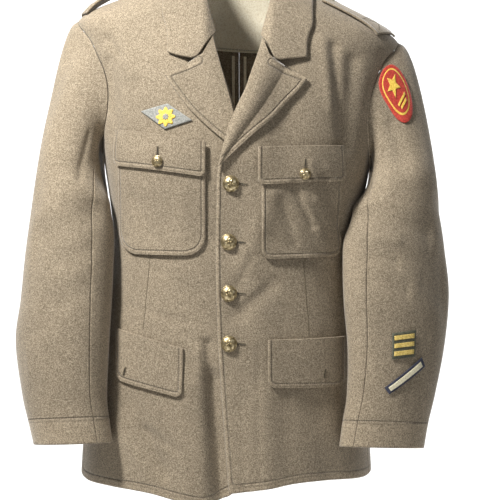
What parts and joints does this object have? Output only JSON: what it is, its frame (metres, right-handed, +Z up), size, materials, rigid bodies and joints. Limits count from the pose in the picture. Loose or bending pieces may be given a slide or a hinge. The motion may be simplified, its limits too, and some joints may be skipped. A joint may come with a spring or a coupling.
{
  "type": "uniform service coat",
  "caption": "Hollow filled-out wool service coat with notch lapels, straps, flapped pockets, brass buttons and hanging sleeves.",
  "frame": {"origin": "middle of the neck opening, at the height where the shoulder seams meet the neck", "axes": "+Z up, -Y towards the buttoned front, +X towards the wearer's left side, which is at the right seen from the front"},
  "size_m": [0.6247, 0.2812, 0.8104],
  "materials": {
    "olive_wool": "matte woven wool with a light heather",
    "cream_cotton": "matte plain cotton",
    "button_brass": "worn satin brass",
    "red_felt": "matte embroidered patch",
    "grey_felt": "matte embroidered patch",
    "dark_felt": "matte embroidered patch",
    "cream_braid": "matte braid with a dark border"
  },
  "bodies": {
    "root": {"front_left": "olive_wool", "front_right": "olive_wool", "side_left": "olive_wool", "side_right": "olive_wool", "back_left": "olive_wool", "back_right": "olive_wool", "sleeve_top_left": "olive_wool", "sleeve_top_right": "olive_wool", "sleeve_under_left": "olive_wool", "sleeve_under_right": "olive_wool", "lapel_left": "olive_wool", "lapel_right": "olive_wool", "collar": "olive_wool", "chest_pocket_left": "olive_wool", "chest_pocket_right": "olive_wool", "chest_flap_left": "olive_wool", "chest_flap_right": "olive_wool", "lower_flap_left": "olive_wool", "lower_flap_right": "olive_wool", "strap_left": "olive_wool", "strap_right": "olive_wool", "yoke_lining": "cream_cotton", "patch_lozenge": "grey_felt", "patch_shoulder": "red_felt", "patch_bars": "dark_felt", "patch_stripe": "cream_braid", "front_button_1": "button_brass", "front_button_2": "button_brass", "front_button_3": "button_brass", "front_button_4": "button_brass", "chest_button_left": "button_brass", "chest_button_right": "button_brass", "strap_button_left": "button_brass", "strap_button_right": "button_brass"}
  },
  "joints": []
}
